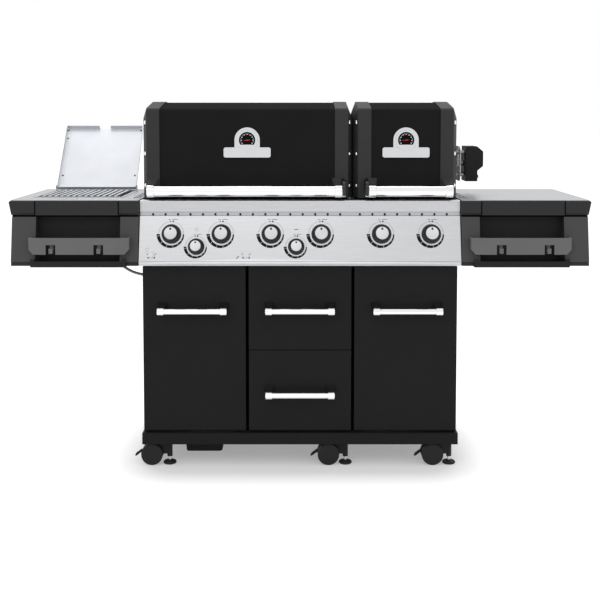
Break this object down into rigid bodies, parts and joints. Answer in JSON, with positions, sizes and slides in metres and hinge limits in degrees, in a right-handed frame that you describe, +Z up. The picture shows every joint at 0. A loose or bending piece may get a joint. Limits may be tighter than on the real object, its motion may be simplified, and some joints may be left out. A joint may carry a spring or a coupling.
{
  "type": "gas barbecue grill",
  "caption": "Freestanding gas barbecue with two lidded ovens, knob console, side shelves, side burner, drawers and doors on a castered cart.",
  "frame": {"origin": "on the floor under the middle of the grill's box", "axes": "+X to the user's right along the console, +Y from the user towards the back, +Z up"},
  "size_m": [1.93, 0.6425, 1.2282],
  "materials": {
    "lid_enamel": "porcelain enamel, satin",
    "cast_dark": "dark powder-coated casting",
    "stainless_console": "fine brushed stainless",
    "stainless_shelf": "brushed stainless",
    "stainless_pressed": "pressed stainless",
    "cart_black": "black powder coat",
    "frame_grey": "grey resin and powder coat",
    "tool_bar_grey": "grey satin",
    "chrome": "polished",
    "knob_black": "satin black with a light cap",
    "button_light": "satin light grey",
    "cast_iron": "matte enamelled iron",
    "burner_steel": "plain stainless",
    "firebox_cast": "dark cast",
    "valve_metal": "plain",
    "zinc_sheet": "zinc plated",
    "caster_black": "moulded",
    "motor_black": "moulded",
    "hose_metal": "corrugated metal hose",
    "gauge_chrome": "polished bezel and plate"
  },
  "bodies": {
    "cart": {"base_pan": "cart_black", "burners": "burner_steel", "cabinet_back": "cart_black", "cabinet_dividers": "zinc_sheet", "cabinet_sides": "cart_black", "console": "stainless_console", "cooking_grids": "cast_iron", "fireboxes": "firebox_cast", "gas_hose": "hose_metal", "gas_manifold": "valve_metal", "heat_tents": "burner_steel", "rotisserie_motor": "motor_black", "shelf_frames": "frame_grey", "shelf_top_left": "stainless_shelf", "shelf_top_right": "stainless_shelf", "side_burner": "stainless_shelf", "side_burner_grate": "stainless_shelf", "tool_bars": "tool_bar_grey"},
    "cooking_lid_left": {"lid_left_shell": "lid_enamel", "lid_left_ends": "cast_dark", "lid_left_handle": "chrome", "lid_left_gauge": "gauge_chrome"},
    "cooking_lid_right": {"lid_right_shell": "lid_enamel", "lid_right_ends": "cast_dark", "lid_right_handle": "chrome", "lid_right_gauge": "gauge_chrome"},
    "burner_lid": {"side_burner_lid": "stainless_pressed"},
    "door_left": {"door_left": "cart_black", "door_left_handle": "chrome"},
    "door_right": {"door_right": "cart_black", "door_right_handle": "chrome"},
    "drawer_lower": {"drawer_lower": "cart_black", "drawer_lower_handle": "chrome"},
    "drawer_upper": {"drawer_upper": "cart_black", "drawer_upper_handle": "chrome"},
    "grease_tray": {"grease_tray": "zinc_sheet"},
    "knob_1": {"knob_1": "knob_black"},
    "knob_2": {"knob_2": "knob_black"},
    "knob_3": {"knob_3": "knob_black"},
    "knob_4": {"knob_4": "knob_black"},
    "knob_5": {"knob_5": "knob_black"},
    "knob_6": {"knob_6": "knob_black"},
    "knob_7": {"knob_7": "knob_black"},
    "knob_8": {"knob_8": "knob_black"},
    "light_button": {"light_button": "button_light"},
    "igniter_button": {"igniter_button": "button_light"},
    "caster_front_left": {"caster_hood_front_left": "caster_black"},
    "wheel_front_left": {"caster_wheel_front_left": "caster_black"},
    "lever_front_left": {"brake_lever_front_left": "caster_black"},
    "caster_front_middle": {"caster_hood_front_middle": "caster_black"},
    "wheel_front_middle": {"caster_wheel_front_middle": "caster_black"},
    "lever_front_middle": {"brake_lever_front_middle": "caster_black"},
    "caster_front_right": {"caster_hood_front_right": "caster_black"},
    "wheel_front_right": {"caster_wheel_front_right": "caster_black"},
    "lever_front_right": {"brake_lever_front_right": "caster_black"},
    "caster_back_left": {"caster_hood_back_left": "caster_black"},
    "wheel_back_left": {"caster_wheel_back_left": "caster_black"},
    "caster_back_right": {"caster_hood_back_right": "caster_black"},
    "wheel_back_right": {"caster_wheel_back_right": "caster_black"}
  },
  "joints": [
    {"name": "cooking_lid_left_hinge", "type": "hinge", "parent": "cart", "child": "cooking_lid_left", "pos_m": [0, 0.23145, 0.926], "axis": [-1, 0, 0], "range_deg": [0, 80]},
    {"name": "cooking_lid_right_hinge", "type": "hinge", "parent": "cart", "child": "cooking_lid_right", "pos_m": [0, 0.23145, 0.926], "axis": [-1, 0, 0], "range_deg": [0, 80]},
    {"name": "burner_lid_hinge", "type": "hinge", "parent": "cart", "child": "burner_lid", "pos_m": [0, 0.14045, 0.914], "axis": [-1, 0, 0], "range_deg": [-128, 0]},
    {"name": "door_left_hinge", "type": "hinge", "parent": "cart", "child": "door_left", "pos_m": [-0.519, -0.25755, 0.4], "axis": [0, 0, -1], "range_deg": [0, 110]},
    {"name": "door_right_hinge", "type": "hinge", "parent": "cart", "child": "door_right", "pos_m": [0.519, -0.25755, 0.4], "axis": [0, 0, 1], "range_deg": [0, 110]},
    {"name": "drawer_lower_slide", "type": "slide", "parent": "cart", "child": "drawer_lower", "axis": [0, -1, 0], "range_m": [0, 0.35]},
    {"name": "drawer_upper_slide", "type": "slide", "parent": "cart", "child": "drawer_upper", "axis": [0, -1, 0], "range_m": [0, 0.35]},
    {"name": "grease_tray_slide", "type": "slide", "parent": "cart", "child": "grease_tray", "axis": [0, 1, 0], "range_m": [0, 0.33]},
    {"name": "knob_1_turn", "type": "hinge", "parent": "cart", "child": "knob_1", "pos_m": [-0.427, -0.2771, 0.787], "axis": [0, -0.9709, 0.2396], "range_deg": [0, 270]},
    {"name": "knob_2_turn", "type": "hinge", "parent": "cart", "child": "knob_2", "pos_m": [-0.34408, -0.28722, 0.746], "axis": [0, -0.9709, 0.2396], "range_deg": [0, 270]},
    {"name": "knob_3_turn", "type": "hinge", "parent": "cart", "child": "knob_3", "pos_m": [-0.26117, -0.2771, 0.787], "axis": [0, -0.9709, 0.2396], "range_deg": [0, 270]},
    {"name": "knob_4_turn", "type": "hinge", "parent": "cart", "child": "knob_4", "pos_m": [-0.09533, -0.2771, 0.787], "axis": [0, -0.9709, 0.2396], "range_deg": [0, 270]},
    {"name": "knob_5_turn", "type": "hinge", "parent": "cart", "child": "knob_5", "pos_m": [-0.01242, -0.28722, 0.746], "axis": [0, -0.9709, 0.2396], "range_deg": [0, 270]},
    {"name": "knob_6_turn", "type": "hinge", "parent": "cart", "child": "knob_6", "pos_m": [0.0705, -0.2771, 0.787], "axis": [0, -0.9709, 0.2396], "range_deg": [0, 270]},
    {"name": "knob_7_turn", "type": "hinge", "parent": "cart", "child": "knob_7", "pos_m": [0.271, -0.2771, 0.787], "axis": [0, -0.9709, 0.2396], "range_deg": [0, 270]},
    {"name": "knob_8_turn", "type": "hinge", "parent": "cart", "child": "knob_8", "pos_m": [0.436, -0.2771, 0.787], "axis": [0, -0.9709, 0.2396], "range_deg": [0, 270]},
    {"name": "press_light_button", "type": "slide", "parent": "cart", "child": "light_button", "axis": [0, 0.9709, -0.2396], "range_m": [0, 0.003], "stiffness_N_per_m": 400},
    {"name": "press_igniter_button", "type": "slide", "parent": "cart", "child": "igniter_button", "axis": [0, 0.9709, -0.2396], "range_m": [0, 0.003], "stiffness_N_per_m": 400},
    {"name": "swivel_front_left", "type": "hinge", "parent": "cart", "child": "caster_front_left", "pos_m": [-0.4755, -0.24455, 0.09], "axis": [0, 0, 1], "continuous": true},
    {"name": "wheel_front_left_roll", "type": "hinge", "parent": "caster_front_left", "child": "wheel_front_left", "pos_m": [-0.5005, -0.24455, 0.0365], "axis": [0, 1, 0], "continuous": true},
    {"name": "tread_front_left_brake", "type": "hinge", "parent": "caster_front_left", "child": "lever_front_left", "pos_m": [-0.5205, -0.24455, 0.046], "axis": [0, -1, 0], "range_deg": [0, 15]},
    {"name": "swivel_front_middle", "type": "hinge", "parent": "cart", "child": "caster_front_middle", "pos_m": [0.121, -0.24455, 0.09], "axis": [0, 0, 1], "continuous": true},
    {"name": "wheel_front_middle_roll", "type": "hinge", "parent": "caster_front_middle", "child": "wheel_front_middle", "pos_m": [0.096, -0.24455, 0.0365], "axis": [0, 1, 0], "continuous": true},
    {"name": "tread_front_middle_brake", "type": "hinge", "parent": "caster_front_middle", "child": "lever_front_middle", "pos_m": [0.076, -0.24455, 0.046], "axis": [0, -1, 0], "range_deg": [0, 15]},
    {"name": "swivel_front_right", "type": "hinge", "parent": "cart", "child": "caster_front_right", "pos_m": [0.473, -0.24455, 0.09], "axis": [0, 0, 1], "continuous": true},
    {"name": "wheel_front_right_roll", "type": "hinge", "parent": "caster_front_right", "child": "wheel_front_right", "pos_m": [0.448, -0.24455, 0.0365], "axis": [0, 1, 0], "continuous": true},
    {"name": "tread_front_right_brake", "type": "hinge", "parent": "caster_front_right", "child": "lever_front_right", "pos_m": [0.428, -0.24455, 0.046], "axis": [0, -1, 0], "range_deg": [0, 15]},
    {"name": "swivel_back_left", "type": "hinge", "parent": "cart", "child": "caster_back_left", "pos_m": [-0.4755, 0.15945, 0.09], "axis": [0, 0, 1], "continuous": true},
    {"name": "wheel_back_left_roll", "type": "hinge", "parent": "caster_back_left", "child": "wheel_back_left", "pos_m": [-0.5005, 0.15945, 0.0365], "axis": [0, 1, 0], "continuous": true},
    {"name": "swivel_back_right", "type": "hinge", "parent": "cart", "child": "caster_back_right", "pos_m": [0.473, 0.15945, 0.09], "axis": [0, 0, 1], "continuous": true},
    {"name": "wheel_back_right_roll", "type": "hinge", "parent": "caster_back_right", "child": "wheel_back_right", "pos_m": [0.448, 0.15945, 0.0365], "axis": [0, 1, 0], "continuous": true}
  ]
}
